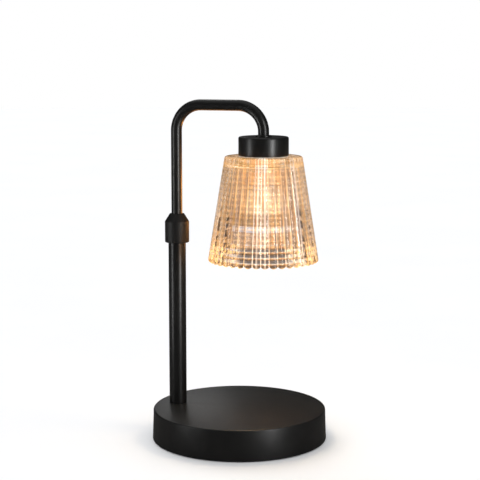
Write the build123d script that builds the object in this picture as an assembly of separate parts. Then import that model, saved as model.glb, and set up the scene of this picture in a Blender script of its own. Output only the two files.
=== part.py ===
from build123d import *
import os
from math import cos, radians, sin

# Candle warmer lamp. A lamp hangs over a candle jar from a gooseneck arm, and its heat melts the wax.
# Frame: origin under the middle of the base, at the floor; +Z up; +X from the post towards the shade.
# All sizes are millimetres. Heights are those of the lowest position, with the clamp tight.

# ---- Base: pressed cover over a cast iron weight, closed from below ----
base_diameter = 160.0
base_draft = 1.0
base_height = 28.5
base_edge_radius = 1.2
cover_wall = 1.2
cover_rim_lift = 0.8
pad_to_rim = 4.0
pad_thickness = 2.0
bottom_plate_thickness = 1.2
bottom_plate_edge_gap = 0.5
weight_thickness = 8.0
weight_edge_gap = 3.0
pillar_diameter = 12.0
pillar_count = 3
pillar_to_rim = 20.0

# ---- M4 hardware in the base ----
m4_radius = 2.0
m4_nut_across_flats = 7.0
m4_nut_height = 3.2
bottom_screw_head_radius = 3.5
bottom_screw_head_height = 1.5
bottom_screw_length = 10.0
pad_screw_hole_radius = 4.5
stud_angles = (60.0, -60.0)
stud_to_rim = 35.0
stud_end_proud = 1.5

# ---- Cord inlet at the back of the base ----
inlet_height = 9.5
inlet_bore_radius = 3.6
inlet_barrel_radius = 5.0
inlet_barrel_length = 6.0
inlet_flange_radius = 6.5
inlet_flange_thickness = 1.2

# ---- Terminal block under the weight ----
block_length = 20.0
block_width = 22.0
block_height = 12.0
block_from_post = 36.0
block_pole_pitch = 12.0
block_wire_hole_height = 4.0
pole_outer_radius = 2.6
pole_bore_radius = 1.9
pole_length = 17.0
pole_screw_pitch = 9.0
m3_radius = 1.5
m3_head_radius = 2.7
m3_head_height = 2.0
block_screw_thread_depth = 5.0

# ---- Post ----
post_to_rim = 19.0
lower_tube_diameter = 16.0
lower_tube_wall = 1.2
lower_tube_length = 153.5
nipple_radius = 5.0
nipple_bore_radius = 3.2
nipple_end_proud = 1.0
foot_plug_length = 16.0
m10_nut_across_flats = 14.0
m10_nut_height = 4.0
post_washer_radius = 10.0
post_washer_thickness = 1.6
stop_sleeve_length = 33.0
stop_sleeve_wall = 0.95

# ---- Height clamp ----
height_travel = 57.0
top_stop_gap = 0.4
bottom_stop_gap = 0.3
seat_thread_length = 14.0
seat_cone_depth = 7.5
seat_cone_mouth_radius = 6.9
seat_cone_root_radius = 5.2
collet_seat_gap = 0.3
collet_flange_radius = 7.3
collet_flange_height = 4.0
collet_slit = 1.2
collar_radius = 11.1
collar_tube_lap = 2.3
collar_crown_height = 5.8
collar_cone_height = 7.2
collar_cone_top_radius = 6.6
collar_bottom_chamfer = 0.8
collar_pocket_lap = 0.8

# ---- Arm ----
arm_tube_diameter = 10.0
arm_tube_wall = 1.0
arm_reach = 82.6
arm_bend_radius = 23.5
arm_neck_length = 2.7
arm_tail_length = 1.5
bush_length = 18.0
clip_thickness = 0.8
clip_groove_depth = 0.4
clip_outer_radius = 6.3
clip_opening = 4.0

# ---- Head: cup, lampholder and shade fixing ----
flange_radius = 7.5
flange_thickness = 1.2
cup_radius = 22.6
cup_height = 17.0
cup_wall = 1.0
cup_edge_radius = 1.6
cup_washer_radius = 9.0
cup_washer_thickness = 0.8
holder_radius = 17.4
holder_wall = 2.2
holder_boss_radius = 8.0
holder_boss_height = 7.0
holder_plate_thickness = 3.0
holder_plate_hole_radius = 4.4
holder_joint_height = 6.0
holder_skirt_length = 21.2
socket_radius = 15.0
socket_height = 16.5
socket_recess = 5.2
socket_face_thickness = 3.7
socket_chamber_height = 6.3
socket_screw_spacing = 19.0
socket_pillar_radius = 2.8
socket_screw_thread_depth = 5.0
contact_radius = 2.4
contact_thickness = 0.8
contact_stem_radius = 1.3
shade_ring_radius = 23.0
shade_ring_height = 4.5
shade_ring_notches = 8
shade_ring_notch_radius = 1.6
upper_gasket_thickness = 0.5
lower_gasket_thickness = 0.6
gasket_edge = 0.4

# ---- Glass shade ----
shade_bottom_height = 165.9
shade_height = 94.9
shade_bottom_radius = 50.1
shade_top_radius = 34.9
shade_wall = 4.0
shade_plate_thickness = 7.5
shade_flutes = 40
shade_flute_depth = 0.9

# ---- Lamp: twist-lock reflector lamp with two pins ----
bulb_diameter = 50.0
bulb_length = 47.0
bulb_rim_height = 3.0
bulb_glass = 1.5
bulb_fullness = 0.62
bulb_base_radius = 13.5
bulb_base_height = 9.0
bulb_base_plug = 3.0
bulb_lens_thickness = 1.6
bulb_capsule_radius = 4.5
bulb_capsule_length = 20.0
pin_spacing = 10.0
pin_neck_radius = 1.5
pin_neck_length = 4.25
pin_head_radius = 2.5
pin_head_height = 2.9
bulb_twist_angle = 40.0

# ---- Internal leads ----
wire_radius = 1.1
wire_spacing = 2.4
wire_end_gap = 0.5
slack_coil_radius = 4.9
wire_run_height = 6.5
wire_bend_radius = 5.0
wire_gentle_radius = 6.0
wire_fan_radius = 3.0
wire_level_length = 5.0
wire_rise_length = 9.0

# ---- Clearances ----
thread_clearance = 0.05
brazed_clearance = 0.05
running_clearance = 0.05
bush_clearance = 0.08
hole_clearance = 0.25
free_clearance = 0.3
face_gap = 0.1

# ---- Places worked out from the sizes above ----
base_radius = base_diameter / 2
post_x = -(base_radius - base_draft - post_to_rim)
shade_x = post_x + arm_reach
on_post = (post_x, 0.0)
on_shade = (shade_x, 0.0)

plate_top = pad_thickness + bottom_plate_thickness
cover_underside = base_height - cover_wall
weight_bottom = cover_underside - weight_thickness
pillar_angles = [360.0 * i / pillar_count for i in range(pillar_count)]
pillar_ring = base_radius - pillar_to_rim
pillar_places = [(pillar_ring * cos(radians(a)), pillar_ring * sin(radians(a))) for a in pillar_angles]
stud_ring = base_radius - stud_to_rim
stud_places = [(stud_ring * cos(radians(a)), stud_ring * sin(radians(a))) for a in stud_angles]
weight_nut_bottom = weight_bottom - m4_nut_height
block_centre_x = post_x + block_from_post
block_bottom = weight_bottom - block_height
block_wire_height = block_bottom + block_wire_hole_height
pole_ys = (-block_pole_pitch / 2, block_pole_pitch / 2)

lower_tube_radius = lower_tube_diameter / 2
lower_tube_bore = lower_tube_radius - lower_tube_wall
lower_tube_top = base_height + lower_tube_length
post_nut_bottom = weight_bottom - post_washer_thickness - m10_nut_height
nipple_end = post_nut_bottom - nipple_end_proud
foot_plug_top = base_height + foot_plug_length
stop_sleeve_top = foot_plug_top + stop_sleeve_length

arm_tube_radius = arm_tube_diameter / 2
arm_tube_bore = arm_tube_radius - arm_tube_wall
lower_clip_bottom = stop_sleeve_top + bottom_stop_gap
arm_tube_end = lower_clip_bottom - arm_tail_length
bush_bottom = lower_clip_bottom + clip_thickness + face_gap
bush_top = bush_bottom + bush_length
upper_clip_bottom = bush_top + face_gap
seat_bottom = upper_clip_bottom + clip_thickness + height_travel + top_stop_gap
seat_top = lower_tube_top + seat_thread_length
seat_cone_root = seat_top - seat_cone_depth
collet_flange_bottom = seat_top + collet_seat_gap
collet_top = collet_flange_bottom + collet_flange_height
collar_bottom = lower_tube_top - collar_tube_lap
collar_pocket_bottom = seat_top + collar_pocket_lap
collar_pocket_top = collet_top + face_gap
collar_top = collar_pocket_top + collar_crown_height
collar_shoulder = collar_top - collar_cone_height

shade_top = shade_bottom_height + shade_height
shade_plate_bottom = shade_top - shade_plate_thickness
cup_bottom = shade_top + upper_gasket_thickness
cup_top = cup_bottom + cup_height
cup_inner_top = cup_top - cup_wall
flange_top = cup_top + flange_thickness
arm_height = flange_top + arm_neck_length + arm_bend_radius
cup_nut_bottom = cup_inner_top - cup_washer_thickness - m10_nut_height
stem_end = cup_nut_bottom - holder_boss_height
holder_plate_bottom = stem_end - holder_plate_thickness
holder_joint_bottom = holder_plate_bottom - holder_joint_height
holder_bottom = holder_joint_bottom - holder_skirt_length
holder_bore = holder_radius - holder_wall
holder_joint_radius = holder_radius - holder_wall / 2
shade_hole_radius = holder_radius + 2 * free_clearance
shade_ring_top = shade_plate_bottom - lower_gasket_thickness
shade_ring_bottom = shade_ring_top - shade_ring_height
socket_bottom = holder_bottom + socket_recess
socket_top = socket_bottom + socket_height
chamber_bottom = socket_bottom + socket_face_thickness
chamber_top = chamber_bottom + socket_chamber_height
contact_places = [(shade_x, -pin_spacing / 2), (shade_x, pin_spacing / 2)]
socket_screw_places = [(shade_x + side * socket_screw_spacing / 2, 0.0) for side in (-1, 1)]

bulb_top = socket_bottom - hole_clearance
bulb_front = bulb_top - bulb_length
bulb_radius = bulb_diameter / 2
bulb_neck = bulb_top - bulb_base_height
bulb_rim_top = bulb_front + bulb_rim_height
pin_neck_top = bulb_top + pin_neck_length
pin_head_top = pin_neck_top + pin_head_height
contact_bottom = pin_head_top + 2 * face_gap

slack_bottom = foot_plug_top + 2 * wire_end_gap
slack_top = arm_tube_end - wire_end_gap

# ---- Shapes that several pieces share ----
STANDING = (Align.CENTER, Align.CENTER, Align.MIN)


def disc(radius, bottom, top, at=(0.0, 0.0)):
    """Upright cylinder between two heights."""
    return Pos(at[0], at[1], bottom) * Cylinder(radius, top - bottom, align=STANDING)


def ring(outer_radius, inner_radius, bottom, top, at=(0.0, 0.0)):
    """Upright cylinder with a round hole through it."""
    return disc(outer_radius, bottom, top, at) - disc(inner_radius, bottom, top, at)


def turned(corners, at=(0.0, 0.0)):
    """Solid turned about an upright axis from (radius, height) corners."""
    profile = make_face(Plane.XZ * Polyline(*corners, close=True))
    return Pos(at[0], at[1], 0) * revolve(profile, Axis.Z)


def rod_along_x(radius, start_x, end_x, y, z):
    """Cylinder that lies along X."""
    return Pos(start_x, y, z) * Rot(0, 90, 0) * Cylinder(radius, end_x - start_x, align=STANDING)


def hex_nut(across_flats, bore_radius, bottom, top, at):
    """Six-sided nut, its thread drawn as a plain bore."""
    prism = extrude(RegularPolygon(across_flats / 2, 6, major_radius=False), amount=top - bottom)
    return Pos(at[0], at[1], bottom) * prism - disc(bore_radius, bottom, top, at)


def base_radius_at(height):
    """Outer radius of the cover, which tapers a little towards its top."""
    return base_radius - base_draft * height / base_height


def shade_radius_at(height):
    """Radius over the crests of the shade's flutes."""
    slope = (shade_bottom_radius - shade_top_radius) / shade_height
    return shade_bottom_radius - slope * (height - shade_bottom_height)


def seat_radius_at(height):
    """Radius of the clamp's conical seat."""
    slope = (seat_cone_mouth_radius - seat_cone_root_radius) / seat_cone_depth
    return seat_cone_root_radius + slope * (height - seat_cone_root)


def wire_along(points, radii):
    """One round insulated wire along straight runs joined by tangent arcs."""
    path = FilletPolyline(*points, radius=radii)
    section = Plane(origin=path @ 0, z_dir=path % 0) * Circle(wire_radius)
    return sweep(section, path=path)


def write(node, shape):
    export_step(shape, "parts/" + node + ".step")


# ---- Base ----
def make_base_cover():
    outer = turned(
        [
            (0, cover_rim_lift),
            (base_radius_at(cover_rim_lift), cover_rim_lift),
            (base_radius_at(base_height), base_height),
            (0, base_height),
        ]
    )
    outer = fillet(outer.edges().filter_by(GeomType.CIRCLE).group_by(Axis.Z)[-1], base_edge_radius)
    inner = turned(
        [
            (0, cover_rim_lift),
            (base_radius_at(cover_rim_lift) - cover_wall, cover_rim_lift),
            (base_radius_at(cover_underside) - cover_wall, cover_underside),
            (0, cover_underside),
        ]
    )
    post_hole = disc(nipple_radius + hole_clearance, cover_underside, base_height, on_post)
    inlet_hole_radius = inlet_barrel_radius + thread_clearance
    inlet_hole = rod_along_x(inlet_hole_radius, -base_diameter, post_x, 0, inlet_height)
    cover = outer - inner - post_hole - inlet_hole
    for place in stud_places:
        cover += disc(m4_radius, weight_nut_bottom - stud_end_proud, base_height - cover_wall / 2, place)
    return cover


def make_base_weight():
    radius = base_radius_at(cover_underside) - cover_wall - weight_edge_gap
    weight = disc(radius, weight_bottom, cover_underside)
    for place in pillar_places:
        weight += disc(pillar_diameter / 2, plate_top, weight_bottom, place)
    screw_reach = plate_top + bottom_screw_length
    for place in pillar_places:
        weight -= disc(m4_radius + thread_clearance, plate_top, screw_reach, place)
    for place in stud_places:
        weight -= disc(m4_radius + hole_clearance, weight_bottom, cover_underside, place)
    weight -= disc(nipple_radius + 2 * hole_clearance, weight_bottom, cover_underside, on_post)
    block_screw_top = weight_bottom + block_screw_thread_depth
    weight -= disc(m3_radius + thread_clearance, weight_bottom, block_screw_top, (block_centre_x, 0))
    return weight


def make_weight_nuts():
    bore = m4_radius + thread_clearance
    return Compound(
        [hex_nut(m4_nut_across_flats, bore, weight_nut_bottom, weight_bottom, place) for place in stud_places]
    )


def make_bottom_plate():
    radius = base_radius_at(pad_thickness) - cover_wall - bottom_plate_edge_gap
    plate = disc(radius, pad_thickness, plate_top)
    for place in pillar_places:
        plate -= disc(m4_radius + hole_clearance, pad_thickness, plate_top, place)
    return plate


def make_non_slip_pad():
    pad = disc(base_radius - pad_to_rim, 0, pad_thickness)
    for place in pillar_places:
        pad -= disc(pad_screw_hole_radius, 0, pad_thickness, place)
    return pad


def make_bottom_screws():
    screws = []
    for place in pillar_places:
        head_bottom = pad_thickness - bottom_screw_head_height
        head = disc(bottom_screw_head_radius, head_bottom, pad_thickness, place)
        shank = disc(m4_radius, pad_thickness, pad_thickness + bottom_screw_length, place)
        screws.append(head + shank)
    return Compound(screws)


def make_cord_inlet_bushing():
    wall_x = -base_radius_at(inlet_height)
    flange_face_x = wall_x - inlet_flange_thickness
    barrel_end_x = wall_x + inlet_barrel_length
    flange = rod_along_x(inlet_flange_radius, flange_face_x, barrel_end_x, 0, inlet_height)
    flange -= turned(
        [(0, 0), (base_radius_at(0), 0), (base_radius_at(base_height), base_height), (0, base_height)]
    )
    barrel = rod_along_x(inlet_barrel_radius, flange_face_x, barrel_end_x, 0, inlet_height)
    return flange + barrel - rod_along_x(inlet_bore_radius, flange_face_x, barrel_end_x, 0, inlet_height)


# ---- Terminal block ----
def make_terminal_block():
    body = Box(block_length, block_width, block_height, align=STANDING)
    block = Pos(block_centre_x, 0, block_bottom) * body
    start_x = block_centre_x - block_length / 2
    for y in pole_ys:
        block -= rod_along_x(
            pole_outer_radius + thread_clearance, start_x, start_x + block_length, y, block_wire_height
        )
        for place in pole_screw_places(y):
            block -= disc(m3_radius + hole_clearance, block_bottom, block_wire_height, place)
    centre = (block_centre_x, 0)
    block -= disc(m3_radius + hole_clearance, block_bottom, weight_bottom, centre)
    head_seat = block_bottom + m3_head_height
    return block - disc(m3_head_radius + hole_clearance, block_bottom, head_seat, centre)


def pole_screw_places(y):
    return [(block_centre_x + side * pole_screw_pitch / 2, y) for side in (-1, 1)]


def make_terminal_poles():
    poles = []
    start_x = block_centre_x - pole_length / 2
    for y in pole_ys:
        pole = rod_along_x(pole_outer_radius, start_x, start_x + pole_length, y, block_wire_height)
        pole -= rod_along_x(pole_bore_radius, start_x, start_x + pole_length, y, block_wire_height)
        for place in pole_screw_places(y):
            pole -= disc(m3_radius + thread_clearance, block_bottom, block_wire_height, place)
        poles.append(pole)
    return Compound(poles)


def make_terminal_screws():
    screw_top = block_wire_height - wire_radius - face_gap
    return Compound(
        [disc(m3_radius, block_bottom, screw_top, place) for y in pole_ys for place in pole_screw_places(y)]
    )


def make_block_screw():
    centre = (block_centre_x, 0)
    head = disc(m3_head_radius, block_bottom, block_bottom + m3_head_height, centre)
    return head + disc(m3_radius, block_bottom, weight_bottom + block_screw_thread_depth, centre)


# ---- Post ----
def make_post_foot():
    plug = disc(lower_tube_bore - brazed_clearance, base_height, foot_plug_top, on_post)
    nipple = disc(nipple_radius, nipple_end, base_height, on_post)
    return plug + nipple - disc(nipple_bore_radius, nipple_end, foot_plug_top, on_post)


def make_post_washer():
    hole = nipple_radius + hole_clearance
    return ring(post_washer_radius, hole, weight_bottom - post_washer_thickness, weight_bottom, on_post)


def make_post_nut():
    bore = nipple_radius + thread_clearance
    nut_top = post_nut_bottom + m10_nut_height
    return hex_nut(m10_nut_across_flats, bore, post_nut_bottom, nut_top, on_post)


def make_lower_tube():
    return ring(lower_tube_radius, lower_tube_bore, base_height, lower_tube_top, on_post)


def make_stop_sleeve():
    outer = lower_tube_bore - face_gap
    return ring(outer, outer - stop_sleeve_wall, foot_plug_top, stop_sleeve_top, on_post)


def make_clamp_seat():
    bore = arm_tube_radius + running_clearance
    skirt = lower_tube_bore - brazed_clearance
    return turned(
        [
            (bore, seat_bottom),
            (skirt, seat_bottom),
            (skirt, lower_tube_top),
            (lower_tube_radius, lower_tube_top),
            (lower_tube_radius, seat_top),
            (seat_cone_mouth_radius, seat_top),
            (seat_cone_root_radius, seat_cone_root),
            (bore, seat_cone_root),
        ],
        on_post,
    )


def make_clamp_collet():
    bore = arm_tube_radius + running_clearance
    nose = seat_cone_root + 2 * free_clearance
    cone_gap = face_gap
    collet = turned(
        [
            (bore, nose),
            (seat_radius_at(nose) - cone_gap, nose),
            (seat_radius_at(seat_top) - cone_gap, seat_top),
            (seat_radius_at(seat_top) - cone_gap, collet_flange_bottom),
            (collet_flange_radius, collet_flange_bottom),
            (collet_flange_radius, collet_top),
            (bore, collet_top),
        ],
        on_post,
    )
    slit_side = Pos(post_x, 0, nose) * Box(
        collet_flange_radius,
        collet_slit,
        collet_top - nose,
        align=(Align.MAX, Align.CENTER, Align.MIN),
    )
    return collet - slit_side


def make_lock_collar():
    thread = lower_tube_radius + 2 * thread_clearance
    pocket = collet_flange_radius + 2 * face_gap
    throat = arm_tube_radius + free_clearance
    return turned(
        [
            (thread, collar_bottom),
            (collar_radius - collar_bottom_chamfer, collar_bottom),
            (collar_radius, collar_bottom + collar_bottom_chamfer),
            (collar_radius, collar_shoulder),
            (collar_cone_top_radius, collar_top),
            (throat, collar_top),
            (throat, collar_pocket_top),
            (pocket, collar_pocket_top),
            (pocket, collar_pocket_bottom),
            (thread, collar_pocket_bottom),
        ],
        on_post,
    )


# ---- Arm ----
def arm_path(start_height, end_height, side=0.0):
    """Centre line of the gooseneck, or a line beside it inside the tube."""
    return [
        (post_x, side, start_height),
        (post_x, side, arm_height),
        (shade_x, side, arm_height),
        (shade_x, side, end_height),
    ]


def make_upper_tube():
    path = FilletPolyline(*arm_path(arm_tube_end, stem_end), radius=arm_bend_radius)
    start = Plane(origin=path @ 0, z_dir=path % 0)
    tube = sweep(start * Circle(arm_tube_radius), path=path)
    tube -= sweep(start * Circle(arm_tube_bore), path=path)
    groove_floor = arm_tube_radius - clip_groove_depth
    for bottom in (lower_clip_bottom, upper_clip_bottom):
        tube -= ring(clip_outer_radius, groove_floor, bottom, bottom + clip_thickness, on_post)
    return tube


def make_bush_clips():
    clips = []
    inner = arm_tube_radius - clip_groove_depth + face_gap / 2
    towards_shade = (Align.MIN, Align.CENTER, Align.MIN)
    opening = Box(clip_outer_radius, clip_opening, clip_thickness, align=towards_shade)
    for bottom in (lower_clip_bottom, upper_clip_bottom):
        clip = ring(clip_outer_radius, inner, bottom, bottom + clip_thickness, on_post)
        clips.append(clip - Pos(post_x, 0, bottom) * opening)
    return Compound(clips)


def make_guide_bush():
    outer = lower_tube_bore - bush_clearance
    return ring(outer, arm_tube_radius + running_clearance, bush_bottom, bush_top, on_post)


# ---- Leads inside the post, the base and the arm ----
def make_lower_lead():
    wires = []
    for side in (-1, 1):
        beside = side * wire_spacing / 2
        pole = side * block_pole_pitch / 2
        rise_end_x = block_centre_x - block_length / 2 - wire_level_length
        points = [
            (post_x, beside, slack_bottom),
            (post_x, beside, wire_run_height),
            (rise_end_x - wire_rise_length, (beside + pole) / 2, wire_run_height),
            (rise_end_x, pole, block_wire_height),
            (block_centre_x, pole, block_wire_height),
        ]
        wires.append(wire_along(points, [wire_bend_radius, wire_gentle_radius, wire_gentle_radius]))
    return Compound(wires)


def make_slack_lead():
    return disc(slack_coil_radius, slack_bottom, slack_top, on_post)


def make_arm_lead():
    wires = []
    for side in (-1, 1):
        beside = side * wire_spacing / 2
        terminal = side * pin_spacing / 2
        points = arm_path(slack_top, holder_plate_bottom + wire_fan_radius / 2, beside)
        points.append((shade_x, terminal, socket_top + wire_fan_radius))
        points.append((shade_x, terminal, socket_top))
        radii = [arm_bend_radius, arm_bend_radius, wire_fan_radius, wire_fan_radius]
        wires.append(wire_along(points, radii))
    return Compound(wires)


# ---- Head ----
def make_cup_flange():
    return ring(flange_radius, arm_tube_radius + thread_clearance, cup_top, flange_top, on_shade)


def make_holder_cup():
    outer = disc(cup_radius, cup_bottom, cup_top, on_shade)
    outer = fillet(outer.edges().group_by(Axis.Z)[-1], cup_edge_radius)
    inner = disc(cup_radius - cup_wall, cup_bottom, cup_inner_top, on_shade)
    return outer - inner - disc(arm_tube_radius + hole_clearance, cup_inner_top, cup_top, on_shade)


def make_cup_washer():
    hole = arm_tube_radius + hole_clearance
    return ring(cup_washer_radius, hole, cup_inner_top - cup_washer_thickness, cup_inner_top, on_shade)


def make_cup_nut():
    bore = arm_tube_radius + thread_clearance
    return hex_nut(m10_nut_across_flats, bore, cup_nut_bottom, cup_nut_bottom + m10_nut_height, on_shade)


def make_holder_cap():
    boss = ring(holder_boss_radius, arm_tube_radius + thread_clearance, stem_end, cup_nut_bottom, on_shade)
    plate = ring(holder_radius, holder_plate_hole_radius, holder_plate_bottom, stem_end, on_shade)
    joint_bore = holder_joint_radius + thread_clearance
    side = ring(holder_radius, joint_bore, holder_joint_bottom, holder_plate_bottom, on_shade)
    cap = boss + plate + side
    for place in socket_screw_places:
        cap += disc(socket_pillar_radius, socket_top, holder_plate_bottom, place)
    for place in socket_screw_places:
        screw_reach = socket_top + socket_screw_thread_depth
        cap -= disc(m3_radius + thread_clearance, socket_top, screw_reach, place)
    return cap


def make_holder_skirt():
    body = ring(holder_radius, holder_bore, holder_bottom, holder_joint_bottom, on_shade)
    neck_top = holder_plate_bottom - face_gap
    return body + ring(holder_joint_radius, holder_bore, holder_joint_bottom, neck_top, on_shade)


def turn_slot(half_width, bottom, top):
    """Arc-shaped slot, from the locked place of one pin to the place where it drops out."""
    arc = CenterArc((0, 0), pin_spacing / 2, 90 - bulb_twist_angle, bulb_twist_angle)
    slot = extrude(SlotArc(arc, 2 * half_width), amount=top - bottom)
    return Pos(shade_x, 0, bottom) * slot


def make_socket_core():
    core = disc(socket_radius, socket_bottom, socket_top, on_shade)
    around = Pos(shade_x, 0, 0) * Rot(0, 0, 180) * Pos(-shade_x, 0, 0)
    neck_slot = turn_slot(pin_neck_radius + hole_clearance, socket_bottom, chamber_bottom)
    chamber = turn_slot(pin_head_radius + free_clearance, chamber_bottom, chamber_top)
    entry_angle = radians(90 - bulb_twist_angle)
    entry_place = (
        shade_x + pin_spacing / 2 * cos(entry_angle),
        pin_spacing / 2 * sin(entry_angle),
    )
    entry = disc(pin_head_radius + free_clearance, socket_bottom, chamber_bottom, entry_place)
    keyhole = neck_slot + chamber + entry
    core -= keyhole
    core -= around * keyhole
    for place in contact_places:
        core -= disc(contact_stem_radius + 2 * face_gap, chamber_top, socket_top, place)
    for place in socket_screw_places:
        core -= disc(m3_radius + hole_clearance, socket_bottom, socket_top, place)
        core -= disc(m3_head_radius + hole_clearance, socket_bottom, socket_bottom + m3_head_height, place)
    return core


def make_socket_screws():
    screws = []
    for place in socket_screw_places:
        head = disc(m3_head_radius, socket_bottom, socket_bottom + m3_head_height, place)
        screws.append(head + disc(m3_radius, socket_bottom, socket_top + socket_screw_thread_depth, place))
    return Compound(screws)


def make_socket_contacts():
    contacts = []
    for place in contact_places:
        plate = disc(contact_radius, contact_bottom, contact_bottom + contact_thickness, place)
        contacts.append(plate + disc(contact_stem_radius, contact_bottom, socket_top, place))
    return Compound(contacts)


def make_shade_ring():
    body = ring(
        shade_ring_radius, holder_radius + 2 * thread_clearance, shade_ring_bottom, shade_ring_top, on_shade
    )
    for i in range(shade_ring_notches):
        angle = radians(360 * i / shade_ring_notches)
        place = (shade_x + shade_ring_radius * cos(angle), shade_ring_radius * sin(angle))
        body -= disc(shade_ring_notch_radius, shade_ring_bottom, shade_ring_top, place)
    return body


def make_upper_gasket():
    return ring(cup_radius, shade_hole_radius, shade_top, cup_bottom, on_shade)


def make_lower_gasket():
    outer = shade_ring_radius - gasket_edge
    return ring(outer, shade_hole_radius, shade_ring_top, shade_plate_bottom, on_shade)


# ---- Glass shade ----
def fluted_outline(crest_radius, height):
    """Closed outline of rounded flutes, each an arc from valley to valley over its crest."""
    step = 360.0 / shade_flutes
    valley_radius = crest_radius - shade_flute_depth

    def point(radius, angle):
        return (radius * cos(radians(angle)), radius * sin(radians(angle)), height)

    arcs = [
        ThreePointArc(
            point(valley_radius, i * step),
            point(crest_radius, (i + 0.5) * step),
            point(valley_radius, (i + 1) * step),
        )
        for i in range(shade_flutes)
    ]
    return make_face(arcs)


def make_glass_shade():
    outer = loft(
        [
            fluted_outline(shade_bottom_radius, shade_bottom_height),
            fluted_outline(shade_top_radius, shade_top),
        ],
        ruled=True,
    )
    hollow = turned(
        [
            (0, shade_bottom_height),
            (shade_radius_at(shade_bottom_height) - shade_wall, shade_bottom_height),
            (shade_radius_at(shade_plate_bottom) - shade_wall, shade_plate_bottom),
            (0, shade_plate_bottom),
        ]
    )
    shade = outer - hollow - disc(shade_hole_radius, shade_plate_bottom, shade_top)
    return Pos(shade_x, 0, 0) * shade


# ---- Lamp ----
def make_bulb_reflector():
    """Bell-shaped glass with a straight rim; the inside follows the outside at the glass's thickness."""
    rim_inner = bulb_radius - bulb_glass
    neck_inner = bulb_base_radius - bulb_glass

    def bell(rim_radius, neck_radius, rim_height, neck_height):
        middle = (
            neck_radius + bulb_fullness * (rim_radius - neck_radius),
            (rim_height + neck_height) / 2,
        )
        return ThreePointArc((rim_radius, rim_height), middle, (neck_radius, neck_height))

    outline = [
        Line((rim_inner, bulb_front), (bulb_radius, bulb_front)),
        Line((bulb_radius, bulb_front), (bulb_radius, bulb_rim_top)),
        bell(bulb_radius, bulb_base_radius, bulb_rim_top, bulb_neck),
        Line((bulb_base_radius, bulb_neck), (neck_inner, bulb_neck)),
        bell(rim_inner, neck_inner, bulb_rim_top, bulb_neck),
        Line((rim_inner, bulb_rim_top), (rim_inner, bulb_front)),
    ]
    profile = make_face([Plane.XZ * edge for edge in outline])
    return Pos(shade_x, 0, 0) * revolve(profile, Axis.Z)


def make_bulb_lens():
    return disc(
        bulb_radius - bulb_glass - face_gap,
        bulb_front + face_gap,
        bulb_front + face_gap + bulb_lens_thickness,
        on_shade,
    )


def make_bulb_base():
    plug_radius = bulb_base_radius - bulb_glass - 2 * face_gap
    plug = disc(plug_radius, bulb_neck - bulb_base_plug, bulb_neck, on_shade)
    return plug + disc(bulb_base_radius, bulb_neck, bulb_top, on_shade)


def make_bulb_pins():
    pins = []
    for place in contact_places:
        neck = disc(pin_neck_radius, bulb_top, pin_neck_top, place)
        pins.append(neck + disc(pin_head_radius, pin_neck_top, pin_head_top, place))
    return Compound(pins)


def make_bulb_capsule():
    """Small glass capsule with a round end, standing on the base inside the reflector."""
    top = bulb_neck - bulb_base_plug
    tip = top - bulb_capsule_length + bulb_capsule_radius
    body = disc(bulb_capsule_radius, tip, top, on_shade)
    return body + Pos(shade_x, 0, tip) * Sphere(bulb_capsule_radius)


os.makedirs("parts", exist_ok=True)

write("base_cover", make_base_cover())
write("base_weight", make_base_weight())
write("weight_nuts", make_weight_nuts())
write("bottom_plate", make_bottom_plate())
write("bottom_screws", make_bottom_screws())
write("non_slip_pad", make_non_slip_pad())
write("cord_inlet_bushing", make_cord_inlet_bushing())
write("terminal_block", make_terminal_block())
write("terminal_poles", make_terminal_poles())
write("terminal_screws", make_terminal_screws())
write("block_screw", make_block_screw())
write("post_foot", make_post_foot())
write("post_washer", make_post_washer())
write("post_nut", make_post_nut())
write("lower_tube", make_lower_tube())
write("stop_sleeve", make_stop_sleeve())
write("clamp_seat", make_clamp_seat())
write("clamp_collet", make_clamp_collet())
write("lock_collar", make_lock_collar())
write("guide_bush", make_guide_bush())
write("bush_clips", make_bush_clips())
write("upper_tube", make_upper_tube())
write("lower_lead", make_lower_lead())
write("slack_lead", make_slack_lead())
write("arm_lead", make_arm_lead())
write("cup_flange", make_cup_flange())
write("holder_cup", make_holder_cup())
write("cup_washer", make_cup_washer())
write("cup_nut", make_cup_nut())
write("holder_cap", make_holder_cap())
write("holder_skirt", make_holder_skirt())
write("socket_core", make_socket_core())
write("socket_screws", make_socket_screws())
write("socket_contacts", make_socket_contacts())
write("shade_ring", make_shade_ring())
write("upper_gasket", make_upper_gasket())
write("lower_gasket", make_lower_gasket())
write("glass_shade", make_glass_shade())
write("bulb_reflector", make_bulb_reflector())
write("bulb_lens", make_bulb_lens())
write("bulb_base", make_bulb_base())
write("bulb_pins", make_bulb_pins())
write("bulb_capsule", make_bulb_capsule())
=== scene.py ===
from math import atan2, cos, pi, radians, sin, sqrt

import bmesh
import bpy
from mathutils import Matrix, Vector


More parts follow.
